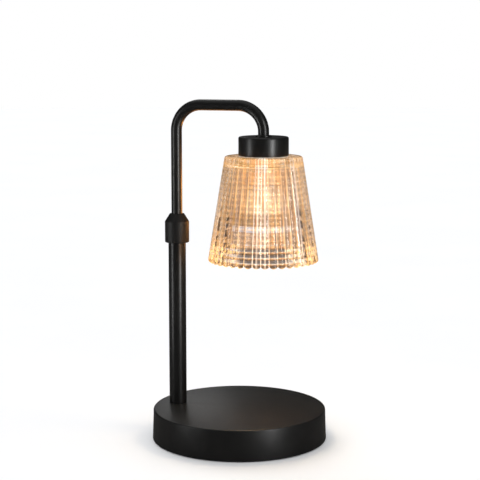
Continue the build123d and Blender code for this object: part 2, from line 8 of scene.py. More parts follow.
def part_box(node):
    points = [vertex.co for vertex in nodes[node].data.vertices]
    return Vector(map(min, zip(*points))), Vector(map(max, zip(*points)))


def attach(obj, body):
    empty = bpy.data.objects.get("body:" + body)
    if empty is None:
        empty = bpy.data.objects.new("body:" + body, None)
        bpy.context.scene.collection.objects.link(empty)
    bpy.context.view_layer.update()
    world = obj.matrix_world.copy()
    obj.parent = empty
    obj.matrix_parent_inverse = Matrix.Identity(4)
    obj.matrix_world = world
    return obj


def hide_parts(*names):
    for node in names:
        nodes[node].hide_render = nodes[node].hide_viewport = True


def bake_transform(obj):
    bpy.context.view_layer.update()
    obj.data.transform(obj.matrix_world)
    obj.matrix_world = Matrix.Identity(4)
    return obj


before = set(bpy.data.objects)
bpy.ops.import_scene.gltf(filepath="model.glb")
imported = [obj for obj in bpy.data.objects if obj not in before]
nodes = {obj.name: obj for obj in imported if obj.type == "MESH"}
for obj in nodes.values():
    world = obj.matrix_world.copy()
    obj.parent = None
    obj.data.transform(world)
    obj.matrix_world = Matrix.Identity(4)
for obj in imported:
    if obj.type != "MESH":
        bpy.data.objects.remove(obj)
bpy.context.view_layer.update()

MM = 0.001


# ---- Places of the pieces, from the CAD nodes in model.glb ----
def middle_axis(node):
    """Upright axis through the middle of a CAD node, in metres."""
    low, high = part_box(node)
    return (low.x + high.x) / 2, 0.0


def levels(node):
    """Lowest and highest level of a CAD node, in millimetres."""
    low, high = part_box(node)
    return low.z / MM, high.z / MM


base_axis = (0.0, 0.0)
post_axis = middle_axis("lower_tube")
shade_axis = middle_axis("glass_shade")
base_bottom, base_top = levels("base_cover")
pad_top = levels("non_slip_pad")[1]
post_bottom, post_top = levels("lower_tube")
collar_bottom, collar_top = levels("lock_collar")
cup_bottom, cup_top = levels("holder_cup")
shade_bottom, shade_top = levels("glass_shade")
cap_bottom, cap_top = levels("holder_cap")
skirt_bottom, skirt_top = levels("holder_skirt")
bell_front, bell_neck = levels("bulb_reflector")
front_bottom, front_top = levels("bulb_lens")
lamp_base_bottom, lamp_base_top = levels("bulb_base")
pin_bottom, pin_top = levels("bulb_pins")


def new_object(name, data):
    """A new object in the scene."""
    made = bpy.data.objects.new(name, data)
    bpy.context.scene.collection.objects.link(made)
    return made


# ---- Building blocks of shader trees ----
def feed(tree, value, socket):
    """Links an output to an input, or sets a number, a vector or a colour on the input."""
    if isinstance(value, bpy.types.NodeSocket):
        tree.links.new(value, socket)
    elif socket.type == "RGBA":
        socket.default_value = (*value, 1.0)
    else:
        socket.default_value = value


def new_node(tree, kind, values, **settings):
    """Adds a node with its settings, feeds its inputs by name or number, and returns its outputs."""
    node = tree.nodes.new("ShaderNode" + kind)
    for name, value in settings.items():
        setattr(node, name, value)
    for key, value in values.items():
        feed(tree, value, node.inputs[key])
    return node.outputs


def maths(tree, operation, first, second=0.0):
    """Result of a Math node; each operand is an output or a number."""
    return new_node(tree, "Math", {0: first, 1: second}, operation=operation)[0]


def times(tree, first, *others):
    """Product of outputs and numbers."""
    for other in others:
        first = maths(tree, "MULTIPLY", first, other)
    return first


def inverse(tree, mask):
    """1 where the mask is 0, and 0 where it is 1."""
    return maths(tree, "SUBTRACT", 1.0, mask)


def split(tree, vector):
    """The X, Y and Z outputs of a vector."""
    return new_node(tree, "SeparateXYZ", {0: vector})


def noise(tree, vector, scale, detail, rough=0.5):
    """Noise about 0.5; the scale is per metre."""
    values = {"Vector": vector, "Scale": scale, "Detail": detail, "Roughness": rough}
    return new_node(tree, "TexNoise", values)["Fac"]


def spread(tree, value, low, high):
    """Stretches a value between low and high to 0 to 1, with soft ends."""
    values = {"Value": value, "From Min": low, "From Max": high}
    return new_node(tree, "MapRange", values, interpolation_type="SMOOTHSTEP")[0]


def ranged(tree, mask, low, high):
    """Number that goes from low to high with the mask."""
    return new_node(tree, "MapRange", {"Value": mask, "To Min": low, "To Max": high})[0]


def mixed(tree, mask, low, high):
    """Colour that goes from low to high with the mask; each is a colour or an output."""
    return new_node(tree, "Mix", {"Factor": mask, 6: low, 7: high}, data_type="RGBA")[2]


def about_axis(tree, position, axis):
    """Moves a pattern's origin to an upright axis."""
    return new_node(tree, "Mapping", {"Vector": position, "Location": (-axis[0], -axis[1], 0.0)})[0]


def height_band(tree, position, low, high):
    """0 below low and 1 above high, both levels in millimetres."""
    return spread(tree, split(tree, position)["Z"], low * MM, high * MM)


def mirrored(tree):
    """1 for light that arrives by a reflection, 0 for light that comes straight or through glass."""
    rays = new_node(tree, "LightPath", {})
    return times(tree, rays["Is Glossy Ray"], inverse(tree, rays["Is Transmission Ray"]))


# ---- Shader node groups: one effect each, placed in many finishes ----
def new_group(name, inputs, outputs):
    """An empty shader group; inputs are (label, default), where no default means a vector.
    Returns the group, what it is given and what it makes."""
    group = bpy.data.node_groups.new(name, "ShaderNodeTree")
    for label, value in inputs:
        kind = "NodeSocketVector" if value is None else "NodeSocketFloat"
        socket = group.interface.new_socket(label, in_out="INPUT", socket_type=kind)
        if value is not None:
            socket.default_value = value
    for label in outputs:
        group.interface.new_socket(label, in_out="OUTPUT", socket_type="NodeSocketFloat")
    return group, group.nodes.new("NodeGroupInput").outputs, group.nodes.new("NodeGroupOutput").inputs


def make_grain_group():
    """Fine even grain, as of powder coat, cast or moulded surfaces, with slow patches over it."""
    group, given, made = new_group(
        "surface_grain",
        [("Position", None), ("Grain Scale", 2600.0), ("Patch Scale", 55.0)],
        ["Grain", "Patches", "Height"],
    )
    fine = noise(group, given["Position"], given["Grain Scale"], 3.0, 0.6)
    slow = noise(group, given["Position"], given["Patch Scale"], 4.0)
    feed(group, spread(group, fine, 0.38, 0.62), made["Grain"])
    feed(group, spread(group, slow, 0.35, 0.65), made["Patches"])
    feed(group, maths(group, "ADD", fine, times(group, slow, 0.4)), made["Height"])
    return group


def make_fleck_group():
    """Scattered round flecks, as of pores, metallic specks or the crystals of zinc."""
    group, given, made = new_group(
        "surface_flecks",
        [("Position", None), ("Cell Scale", 900.0), ("Fleck Size", 0.25)],
        ["Flecks", "Cells"],
    )
    cells = new_node(group, "TexVoronoi", {"Vector": given["Position"], "Scale": given["Cell Scale"]})
    inside = maths(group, "SUBTRACT", given["Fleck Size"], cells["Distance"])
    feed(group, spread(group, inside, 0.0, 0.12), made["Flecks"])
    feed(group, new_node(group, "SeparateColor", {0: cells["Color"]})["Red"], made["Cells"])
    return group


def make_line_group():
    """Fine parallel lines across Z, as left by turning or drawing metal."""
    group, given, made = new_group(
        "turned_lines",
        [("Position", None), ("Line Scale", 1400.0), ("Wander", 12.0)],
        ["Lines"],
    )
    stretched = new_node(group, "Mapping", {"Vector": given["Position"], "Scale": (0.02, 0.02, 1.0)})[0]
    fine = noise(group, stretched, given["Line Scale"], 2.0, 0.7)
    slow = noise(group, given["Position"], given["Wander"], 2.0)
    both = maths(group, "ADD", times(group, fine, 0.8), times(group, slow, 0.2))
    feed(group, spread(group, both, 0.35, 0.65), made["Lines"])
    return group


def make_dust_group():
    """Settled dust: only on faces that look up, broken into patches."""
    group, given, made = new_group("settled_dust", [("Position", None), ("Amount", 0.3)], ["Dust"])
    normal = new_node(group, "NewGeometry", {})["Normal"]
    upward = spread(group, split(group, normal)["Z"], 0.55, 0.98)
    patches = spread(group, noise(group, given["Position"], 90.0, 5.0, 0.65), 0.42, 0.7)
    specks = spread(group, noise(group, given["Position"], 1800.0, 2.0, 0.6), 0.55, 0.68)
    both = maths(group, "MAXIMUM", times(group, patches, 0.12), specks)
    feed(group, times(group, upward, both, given["Amount"]), made["Dust"])
    return group


def make_stroke_group():
    """Masks for the light and shade painted into reeded glass about the piece's axis: upright strokes, lines
    between the reeds, level rings.
    """
    group, given, made = new_group(
        "reeded_light",
        [
            # Tone Start is set so that the reeds facing the camera get the painted bright lines
            ("Position", None), ("Reeds", 40.0), ("Tone Start", 328.75), ("Ring Pitch", 0.005),
            ("Ring Place", 0.17), ("Stroke Scale", 30.0), ("Panel Turn", 0.0),
        ],
        [
            "Strokes", "Fine Strokes", "Thin Strokes", "Sparks", "Side Dashes", "Hue", "Valleys", "Crests",
            "Flanks", "Reed Tone", "Rings", "Panels", "Height",
        ],
    )
    panels_around = 3.0
    place = split(group, given["Position"])
    flat = new_node(group, "CombineXYZ", {"X": place["X"], "Y": place["Y"]})[0]
    outward = new_node(group, "VectorMath", {0: flat}, operation="NORMALIZE")[0]

    def strokes(across, along, detail, rough):
        """Noise drawn out upright: across is a share of Stroke Scale, along is per metre."""
        scale = times(group, given["Stroke Scale"], across)
        wide = new_node(group, "VectorMath", {0: outward, "Scale": scale}, operation="SCALE")[0]
        tall = new_node(group, "CombineXYZ", {"Z": times(group, place["Z"], along)})[0]
        both = new_node(group, "VectorMath", {0: wide, 1: tall}, operation="ADD")[0]
        return noise(group, both, 1.0, detail, rough)

    # Reeds: each has a number and a tone, and from_crest goes from 0 on its crest to 1 in its valley
    bearing = maths(group, "ARCTAN2", place["Y"], place["X"])
    reed = times(group, maths(group, "DIVIDE", bearing, 2 * pi), given["Reeds"])
    number = maths(group, "ROUND", reed)
    off_centre = maths(group, "ABSOLUTE", maths(group, "SUBTRACT", reed, number))
    from_crest = times(group, off_centre, 2.0)
    counted = maths(group, "FLOORED_MODULO", number, given["Reeds"])
    seed = maths(group, "ADD", counted, given["Tone Start"])
    tone = new_node(group, "TexWhiteNoise", {"W": seed}, noise_dimensions="1D")["Value"]
    flank_start = spread(group, from_crest, 0.46, 0.62)
    flank_end = spread(group, from_crest, 0.68, 0.8)

    # Level rings
    above_ring = maths(group, "SUBTRACT", place["Z"], given["Ring Place"])
    ring_turn = times(group, maths(group, "DIVIDE", above_ring, given["Ring Pitch"]), 2 * pi)

    # Panels: broad parts of the shade with ragged edges, which take the painted dark rows or the painted
    # sparks, and bands along their sides for the painted dark dashes
    from_panel = maths(group, "SUBTRACT", bearing, given["Panel Turn"])
    facing = maths(group, "COSINE", times(group, from_panel, panels_around))
    ragged = times(group, maths(group, "SUBTRACT", strokes(0.12, 20.0, 2.0, 0.5), 0.5), 2.4)
    outer_side = spread(group, facing, -0.995, -0.96)
    inner_side = spread(group, facing, -0.82, -0.66)
    sides = maths(group, "SUBTRACT", outer_side, times(group, outer_side, inner_side))
    broken = times(group, spread(group, strokes(0.8, 260.0, 1.5, 0.6), 0.47, 0.53), sides)

    wide_strokes = strokes(1.0, 30.0, 2.0, 0.55)
    fine_strokes = strokes(2.6, 110.0, 2.0, 0.6)
    for label, value in {
        "Strokes": spread(group, wide_strokes, 0.42, 0.58),
        "Fine Strokes": spread(group, fine_strokes, 0.46, 0.6),
        "Thin Strokes": spread(group, strokes(1.7, 26.0, 1.0, 0.5), 0.55, 0.6),
        "Sparks": spread(group, strokes(1.1, 300.0, 1.0, 0.5), 0.52, 0.6),
        "Side Dashes": times(group, broken, spread(group, from_crest, 0.66, 0.82)),
        "Hue": spread(group, strokes(0.6, 18.0, 2.0, 0.6), 0.42, 0.58),
        "Valleys": spread(group, from_crest, 0.82, 0.94),
        "Crests": inverse(group, spread(group, from_crest, 0.1, 0.26)),
        "Flanks": maths(group, "SUBTRACT", flank_start, flank_end),
        "Reed Tone": tone,
        "Rings": spread(group, maths(group, "COSINE", ring_turn), 0.1, 0.85),
        "Panels": spread(group, maths(group, "ADD", facing, ragged), -0.2, 0.5),
        "Height": maths(group, "ADD", fine_strokes, times(group, wide_strokes, 0.5)),
    }.items():
        feed(group, value, made[label])
    return group


GRAIN = make_grain_group()
FLECKS = make_fleck_group()
LINES = make_line_group()
DUST = make_dust_group()
STROKES = make_stroke_group()


# ---- Finishes ----
def spaced(values):
    """Values by socket label, with spaces for the underscores of keywords."""
    return {label.replace("_", " "): value for label, value in values.items()}


def new_finish(name, **sockets):
    """A material with its shader, and plain numbers or colours on the shader's own sockets."""
    material = bpy.data.materials.new(name)
    material.use_nodes = True
    tree = material.node_tree
    shader = tree.nodes["Principled BSDF"]
    for label, value in spaced(sockets).items():
        feed(tree, value, shader.inputs[label])
    return material, tree, shader, new_node(tree, "TexCoord", {})["Object"]


def place_group(tree, group, position, **values):
    """Puts an effect in a material, with its own values, and returns its outputs."""
    return new_node(tree, "Group", {"Position": position, **spaced(values)}, node_tree=group)


def raised(tree, shader, height, depth):
    """Feeds a height to the shader's normal; depth is in millimetres."""
    values = {"Strength": 1.0, "Distance": depth * MM, "Height": height}
    feed(tree, new_node(tree, "Bump", values)[0], shader.inputs["Normal"])


def dimmed(colour, share):
    """A darker copy of a colour."""
    return tuple(share * part for part in colour)


def grained_finish(name, dark, light, roughness, depth, grain=2600.0, dust=0.0, **sockets):
    """A finish whose colour and gloss change with a fine grain and slow patches."""
    material, tree, shader, position = new_finish(name, **sockets)
    effect = place_group(tree, GRAIN, position, Grain_Scale=grain)
    colour = mixed(tree, effect["Patches"], dark, light)
    if dust:
        settled = place_group(tree, DUST, position, Amount=dust)
        colour = mixed(tree, settled["Dust"], colour, DUST_COLOUR)
    feed(tree, colour, shader.inputs["Base Color"])
    feed(tree, ranged(tree, effect["Grain"], *roughness), shader.inputs["Roughness"])
    raised(tree, shader, effect["Height"], depth)
    return material


def flecked_finish(name, body, fleck, roughness, depth, cells=900.0, size=0.25, **sockets):
    """A finish with scattered flecks of another colour, sunk or proud by depth."""
    material, tree, shader, position = new_finish(name, **sockets)
    effect = place_group(tree, FLECKS, position, Cell_Scale=cells, Fleck_Size=size)
    grain = place_group(tree, GRAIN, position, Grain_Scale=cells * 2.0, Patch_Scale=80.0)
    shaded = mixed(tree, grain["Patches"], body, dimmed(body, 0.82))
    feed(tree, mixed(tree, effect["Flecks"], shaded, fleck), shader.inputs["Base Color"])
    feed(tree, ranged(tree, effect["Cells"], *roughness), shader.inputs["Roughness"])
    raised(tree, shader, effect["Flecks"], depth)
    return material


def turned_finish(name, dark, light, roughness, depth):
    """Metal with fine lines from turning or drawing."""
    material, tree, shader, position = new_finish(name, Metallic=1.0)
    effect = place_group(tree, LINES, position)
    feed(tree, mixed(tree, effect["Lines"], dark, light), shader.inputs["Base Color"])
    feed(tree, ranged(tree, effect["Lines"], *roughness), shader.inputs["Roughness"])
    raised(tree, shader, effect["Lines"], depth)
    return material


DUST_COLOUR = (0.3, 0.29, 0.27)
BLACK_DARK = (0.0036, 0.0036, 0.0035)
BLACK_LIGHT = (0.0062, 0.006, 0.0058)
black_satin = grained_finish("black_satin_paint", BLACK_DARK, BLACK_LIGHT, (0.28, 0.38), 0.01, dust=0.12)
black_matt = grained_finish(
    "black_matt_paint", (0.004, 0.004, 0.0039), (0.0066, 0.0064, 0.0062), (0.45, 0.55), 0.012, dust=0.12,
    Specular_IOR_Level=0.4,
)
black_base = grained_finish("black_base_paint", BLACK_DARK, BLACK_LIGHT, (0.34, 0.44), 0.012, dust=0.12)
cast_iron = grained_finish(
    "cast_iron", (0.075, 0.074, 0.072), (0.15, 0.145, 0.14), (0.55, 0.8), 0.12, grain=900.0, Metallic=0.8
)
zinc = flecked_finish(
    "zinc_plated_steel", (0.56, 0.57, 0.58), (0.68, 0.69, 0.7), (0.22, 0.42), 0.004, cells=420.0, size=0.4,
    Metallic=1.0,
)
brass = turned_finish("turned_brass", (0.6, 0.42, 0.17), (0.76, 0.57, 0.27), (0.2, 0.38), 0.004)
aluminium = turned_finish("turned_aluminium", (0.66, 0.66, 0.65), (0.82, 0.82, 0.8), (0.22, 0.36), 0.004)
nylon = grained_finish(
    "natural_nylon", (0.74, 0.71, 0.63), (0.82, 0.79, 0.71), (0.42, 0.55), 0.01, grain=1500.0,
    Subsurface_Weight=0.15,
)
foam = flecked_finish(
    "black_foam_rubber", (0.028, 0.028, 0.028), (0.009, 0.009, 0.009), (0.8, 0.95), -0.12, cells=1500.0,
    size=0.3,
)
black_rubber = grained_finish(
    "black_rubber", (0.018, 0.018, 0.018), (0.032, 0.031, 0.03), (0.55, 0.72), 0.02, grain=1900.0, dust=0.35
)
silicone = grained_finish(
    "clear_silicone", (0.66, 0.65, 0.61), (0.76, 0.75, 0.71), (0.35, 0.5), 0.012, Subsurface_Weight=0.2
)
# The lampholder is no lamp: its warm emission is painted lamplight, the bulb's glow falling on it
lampholder_painted_glow = grained_finish(
    "white_lampholder_painted_glow", (0.78, 0.74, 0.66), (0.86, 0.83, 0.77), (0.28, 0.4), 0.01, grain=1800.0,
    Emission_Color=(1.0, 0.65, 0.38), Emission_Strength=0.42,
)
steatite = flecked_finish(
    "steatite", (0.82, 0.79, 0.71), (0.6, 0.55, 0.47), (0.5, 0.7), 0.01, cells=700.0, size=0.16
)
wire_cover = grained_finish(
    "wire_insulation", (0.72, 0.69, 0.6), (0.82, 0.79, 0.71), (0.4, 0.52), 0.012, grain=2200.0
)
lamp_ceramic = grained_finish("lamp_ceramic", (0.8, 0.78, 0.72), (0.88, 0.86, 0.81), (0.3, 0.45), 0.01)


# ---- Camera ----
view_azimuth, view_elevation, view_distance = radians(17.17), radians(8.26), 1.24597
aim_height, aim_right = 0.184, 0.00054
camera_right = Vector((cos(view_azimuth), sin(view_azimuth), 0))
camera_back = Vector((
    sin(view_azimuth) * cos(view_elevation),
    -cos(view_azimuth) * cos(view_elevation),
    sin(view_elevation),
))
camera = new_object("camera", bpy.data.cameras.new("camera"))
camera.data.sensor_width = 36.0
camera.data.lens = 103.0
camera_aim = Vector((0, 0, aim_height)) + aim_right * camera_right
camera_turn = Matrix((camera_right, camera_back.cross(camera_right), camera_back)).transposed()
camera_place = Matrix.Translation(camera_aim + view_distance * camera_back)
camera.matrix_world = camera_place @ camera_turn.to_4x4()
bpy.context.scene.camera = camera


# ---- Floor and light ----
def add_piece(name, shape, material, body, replaced=(), sharp=35.0):
    """Turns a finished bmesh into an object. It rides on the body that is named, stays in place with its
    matrix baked in for (body, body, start, end), and is part of the studio where body is None."""
    mesh = bpy.data.meshes.new(name)
    shape.to_mesh(mesh)
    shape.free()
    mesh.shade_smooth()
    mesh.set_sharp_from_angle(angle=radians(sharp))
    piece = new_object(name, mesh)
    mesh.materials.append(material)
    if body is None:
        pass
    elif isinstance(body, tuple):
        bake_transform(piece)
    else:
        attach(piece, body)
    if replaced:
        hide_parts(*replaced)


def beside_camera(turn_left, distance, height):
    """A point turned left of the camera about the lamp, in degrees."""
    bearing = view_azimuth - radians(turn_left)
    return sin(bearing) * distance, -cos(bearing) * distance, height


# Upright strips of light: name, degrees left of the camera, width, power, level of the glow on the floor
strips = (
    ("left_strip", 68.0, 0.2, 1.8, 5.5),
    ("right_strip", -40.0, 0.15, 7.0, 7.0),
)
strip_distance, strip_height, strip_length = 1.3, 0.35, 0.8


def floor_shape():
    """Wide floor, open under the foam foot, which shows from below."""
    shape = bmesh.new()
    floor_radius = 6.3
    opening_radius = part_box("non_slip_pad")[1].x - 1.0 * MM
    for radius in (floor_radius, opening_radius):
        bmesh.ops.create_circle(shape, segments=96, radius=radius)
    bmesh.ops.bridge_loops(shape, edges=shape.edges[:])
    if shape.faces[:][0].normal.z < 0:
        bmesh.ops.reverse_faces(shape, faces=shape.faces[:])
    return shape


def studio_floor():
    """Plain pale floor, dimmer to gloss so that dark paint keeps its depth, with the strips' glow on it."""
    material, tree, shader, position = new_finish(
        "white_floor", Roughness=1.0, Specular_IOR_Level=0.0, Emission_Strength=1.0
    )
    material.cycles.emission_sampling = "NONE"
    parts = split(tree, about_axis(tree, position, post_axis))
    bearing = maths(tree, "ARCTAN2", parts["Y"], parts["X"])
    bands = 0.0
    for _, turn_left, _, _, level in strips:
        x, y = beside_camera(turn_left, strip_distance, 0.0)[:2]
        away = maths(tree, "SUBTRACT", bearing, atan2(y - post_axis[1], x - post_axis[0]))
        band = spread(tree, maths(tree, "COSINE", away), cos(radians(6.5)), cos(radians(4.0)))
        bands = maths(tree, "ADD", times(tree, band, level), bands)
    from_middle = new_node(tree, "VectorMath", {0: position}, operation="LENGTH")["Value"]
    clear_of_base = spread(tree, from_middle, 0.32, 0.5)
    glow = times(tree, bands, clear_of_base, mirrored(tree))
    glow_colour = new_node(tree, "CombineColor", {0: glow, 1: glow, 2: glow})[0]
    feed(tree, glow_colour, shader.inputs["Emission Color"])
    effect = place_group(tree, GRAIN, position, Grain_Scale=4.0)
    pale = mixed(tree, effect["Grain"], (0.93, 0.938, 0.955), (0.94, 0.948, 0.965))
    dim_to_gloss = (0.1, 0.097, 0.094)
    feed(tree, mixed(tree, mirrored(tree), pale, dim_to_gloss), shader.inputs["Base Color"])
    return material


add_piece("floor", floor_shape(), studio_floor(), None)


def studio_world():
    """White backdrop to the eye and the floor, a dim room to gloss, bright and dark panels to glass."""
    panels_around = 13.0
    taken_from_glass, taken_from_gloss, ceiling_to_gloss = 0.8, 0.97, 0.45
    taken_from_floor, least = 0.16, 0.03
    world = bpy.data.worlds.new("studio")
    bpy.context.scene.world = world
    world.use_nodes = True
    tree = world.node_tree
    plain = tree.nodes["Background"].inputs
    feed(tree, (1.0, 1.0, 1.0), plain["Color"])
    rays = new_node(tree, "LightPath", {})
    toward = split(tree, new_node(tree, "TexCoord", {})["Generated"])
    bearing = maths(tree, "ARCTAN2", toward["X"], toward["Y"])
    panels = maths(tree, "COSINE", times(tree, bearing, panels_around))
    dark_panel = spread(tree, panels, 0.1, 0.6)
    dark_ceiling = spread(tree, toward["Z"], 0.35, 0.7)
    dark_to_glass = times(tree, maths(tree, "MAXIMUM", dark_panel, dark_ceiling), taken_from_glass)
    through = times(tree, rays["Is Transmission Ray"], dark_to_glass)
    overhead = times(tree, spread(tree, toward["Z"], 0.6, 0.95), ceiling_to_gloss)
    gloss = times(tree, mirrored(tree), maths(tree, "SUBTRACT", taken_from_gloss, overhead))
    onto_floor = times(tree, rays["Is Diffuse Ray"], taken_from_floor)
    taken = maths(tree, "ADD", through, gloss)
    level = maths(tree, "SUBTRACT", inverse(tree, onto_floor), taken)
    feed(tree, maths(tree, "MAXIMUM", level, least), plain["Strength"])


def add_light(name, kind, place, aim, power, unseen_by, colour=(1.0, 1.0, 1.0), **shape):
    """A light at a place, turned to what it lights; shape sets its size and form.
    unseen_by names the kinds of rays that don't meet it."""
    data = bpy.data.lights.new(name, kind)
    data.energy = power
    data.color = colour
    for label, value in shape.items():
        setattr(data, label, value)
    light = new_object(name, data)
    light.location = place
    light.rotation_mode = "QUATERNION"
    light.rotation_quaternion = (Vector(aim) - Vector(place)).to_track_quat("-Z", "Y")
    for rays in unseen_by:
        setattr(light, "visible_" + rays, False)


studio_world()
floor_middle, lamp_middle = (0, 0, 0), (0, 0, 0.15)
but_gloss_and_glass = ("diffuse", "camera")
but_gloss = ("diffuse", "camera", "transmission")
add_light(
    "high_key", "SUN", beside_camera(160.0, 1.6, 1.4), floor_middle, 1.05, ("glossy",), angle=radians(50)
)
for name, turn_left, width, power, _ in strips:
    add_light(
        name, "AREA", beside_camera(turn_left, strip_distance, strip_height), lamp_middle, power,
        but_gloss_and_glass, shape="RECTANGLE", size=width, size_y=strip_length,
    )
add_light(
    "back_panel", "AREA", beside_camera(165.0, 1.3, 1.4), lamp_middle, 2.0, but_gloss_and_glass,
    shape="RECTANGLE", size=0.5, size_y=0.5,
)
add_light(
    "low_panel", "AREA", (-0.24, 0.5, 0.19), (-0.05, -0.03, base_top * MM), 0.045, but_gloss,
    shape="RECTANGLE", size=0.12, size_y=0.1,
)
arm_middle = ((post_axis[0] + shade_axis[0]) / 2, 0.0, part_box("upper_tube")[1].z)
for name, place, aim, power in (
    ("warm_below", (*shade_axis, 0.15), (*shade_axis, 0.0), 0.02),
    ("warm_side", (shade_axis[0] + 0.03, 0.14, 0.2), (*post_axis, 0.25), 0.035),
    ("warm_under_arm", (post_axis[0] - 0.01, 0.12, 0.17), arm_middle, 0.008),
):
    add_light(
        name, "AREA", place, aim, power, but_gloss, (1.0, 0.38, 0.08), shape="DISK", size=0.06,
        spread=radians(70),
    )


# ---- Shapes ----
def lathe(outline, axis, steps, roundings=()):
    """Piece turned about an upright axis from a closed (radius, height) outline in millimetres.
    roundings gives (corner number, radius) for corners that are rounded."""
    shape = bmesh.new()
    corners = [shape.verts.new((axis[0] + r * MM, axis[1], z * MM)) for r, z in outline]
    for pair in zip(corners, corners[1:] + corners[:1]):
        shape.edges.new(pair)
    for number, radius in roundings:
        bmesh.ops.bevel(
            shape, geom=[corners[number]], offset=radius * MM, offset_type="OFFSET", segments=5, profile=0.5,
            affect="VERTICES", material=-1,
        )
    bmesh.ops.spin(
        shape, geom=shape.verts[:] + shape.edges[:], cent=(*axis, 0), axis=(0, 0, 1), angle=2 * pi,
        steps=steps, use_merge=True,
    )
    bmesh.ops.remove_doubles(shape, verts=shape.verts, dist=0.000002)
    bmesh.ops.recalc_face_normals(shape, faces=shape.faces)
    return shape


def spare_object(shape):
    """A bmesh as an object that is used once and deleted."""
    spare = new_object("spare", bpy.data.meshes.new("spare"))
    shape.to_mesh(spare.data)
    shape.free()
    return spare


def carved(shape, *cutters):
    """Cuts other closed shapes out of a closed shape."""
    target = spare_object(shape)
    tools = [spare_object(cutter) for cutter in cutters]
    for tool in tools:
        cut = target.modifiers.new("cut", "BOOLEAN")
        cut.operation = "DIFFERENCE"
        cut.solver = "EXACT"
        cut.object = tool
    result = bmesh.new()
    result.from_object(target, bpy.context.evaluated_depsgraph_get())
    bmesh.ops.dissolve_degenerate(result, dist=0.000002, edges=result.edges)
    for spare in [target] + tools:
        mesh = spare.data
        bpy.data.objects.remove(spare)
        bpy.data.meshes.remove(mesh)
    return result


def joined(*shapes):
    """Several closed shapes as one."""
    whole = bmesh.new()
    for shape in shapes:
        spare = bpy.data.meshes.new("spare")
        shape.to_mesh(spare)
        shape.free()
        whole.from_mesh(spare)
        bpy.data.meshes.remove(spare)
    return whole


def laid_back(shape, place):
    """Turns an upright shape so that its top faces away from the shade, and moves its foot to a place."""
    turned = Matrix.Translation(place) @ Matrix.Rotation(radians(-90), 4, "Y")
    bmesh.ops.transform(shape, verts=shape.verts, matrix=turned)
    return shape


def peg(radius, bottom, top, axis, sides=48):
    """Closed cylinder that cuts a hole."""
    shape = bmesh.new()
    bmesh.ops.create_cone(
        shape, cap_ends=True, segments=sides, radius1=radius * MM, radius2=radius * MM,
        depth=(top - bottom) * MM, matrix=Matrix.Translation((*axis, (bottom + top) / 2 * MM)),
    )
    return shape


def around(axis, radius, angle):
    """A point on a circle about an upright axis; radius in millimetres, angle in degrees."""
    return axis[0] + radius * MM * cos(radians(angle)), axis[1] + radius * MM * sin(radians(angle))


# ---- Base ----
cover_foot, cover_rim, cover_sheet = 79.97, 79.0, 1.2
cover_inner_foot, cover_inner_rim = 78.77, 77.84
post_hole, inlet_hole = 5.25, 5.05
inlet_low, inlet_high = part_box("cord_inlet_bushing")
inlet_place = Vector((inlet_high.x, 0, (inlet_low.z + inlet_high.z) / 2))
inlet_length = (inlet_high.x - inlet_low.x) / MM
cover = lathe(
    [
        (cover_foot, base_bottom), (cover_rim, base_top), (0.0, base_top), (0.0, base_top - cover_sheet),
        (cover_inner_rim, base_top - cover_sheet), (cover_inner_foot, base_bottom),
    ],
    base_axis, steps=256, roundings=[(0, 0.45), (1, 1.2), (4, 0.8)],
)
cover = carved(
    cover,
    peg(post_hole, base_top - 3.0, base_top + 2.0, post_axis),
    laid_back(peg(inlet_hole, -2.0, inlet_length + 2.0, (0, 0)), inlet_place),
)
add_piece("base_shell", cover, black_base, "stand", ["base_cover"])

cord_bore, bushing_neck, bushing_flange = 3.6, 5.0, 6.5
flange_foot, dish_floor = inlet_length - 1.45, inlet_length - 0.35
bushing = lathe(
    [
        (cord_bore, 0.0), (bushing_neck, 0.0), (bushing_neck, flange_foot), (bushing_flange, flange_foot),
        (bushing_flange, inlet_length), (5.6, inlet_length), (5.2, dish_floor), (4.7, dish_floor),
        (4.4, inlet_length), (cord_bore, inlet_length),
    ],
    (0, 0), steps=64, roundings=[(1, 0.4), (4, 0.5), (9, 0.35)],
)
bushing = laid_back(bushing, inlet_place)
add_piece("inlet_bushing", bushing, black_rubber, "stand", ["cord_inlet_bushing"])

pad_radius, pad_thickness, pad_hole, screw_circle = 76.0, 2.0, 4.5, 60.0
screw_places = [around(base_axis, screw_circle, angle) for angle in (0.0, 120.0, 240.0)]
pad = lathe(
    [(pad_radius, 0.0), (pad_radius, pad_thickness), (0.0, pad_thickness), (0.0, 0.0)],
    base_axis, steps=192, roundings=[(0, 0.5), (1, 0.2)],
)
pad = carved(pad, *[peg(pad_hole, -1.0, pad_thickness + 1.0, place, 32) for place in screw_places])
add_piece("foam_foot", pad, foam, "stand", ["non_slip_pad"])


def pan_head_screw(place):
    """Screw that looks down: rounded head with a cross recess, and its shank."""
    head_radius, shank_radius, point_radius, shank_length = 3.5, 2.0, 1.6, 10.0
    recess_length, recess_width, recess_depth = 3.6, 0.8, 0.85
    head_top, head_bottom = pad_top, pad_top - 1.5
    shank_end = head_top + shank_length
    screw = lathe(
        [
            (0.0, head_bottom), (2.2, head_bottom), (3.1, head_bottom + 0.25),
            (head_radius, head_bottom + 0.9), (head_radius, head_top), (shank_radius, head_top),
            (shank_radius, shank_end - 0.4), (point_radius, shank_end), (0.0, shank_end),
        ],
        place, steps=40, roundings=[(2, 0.3)],
    )
    middle = Matrix.Translation((*place, (head_bottom + recess_depth - 0.5) * MM))
    slots = []
    for length, width in ((recess_length, recess_width), (recess_width, recess_length)):
        slot = bmesh.new()
        bmesh.ops.create_cube(slot, size=MM, matrix=middle @ Matrix.Diagonal((length, width, 1.0, 1.0)))
        slots.append(slot)
    return carved(screw, *slots)


screws = joined(*[pan_head_screw(place) for place in screw_places])
add_piece("base_screws", screws, zinc, "stand", ["bottom_screws"])

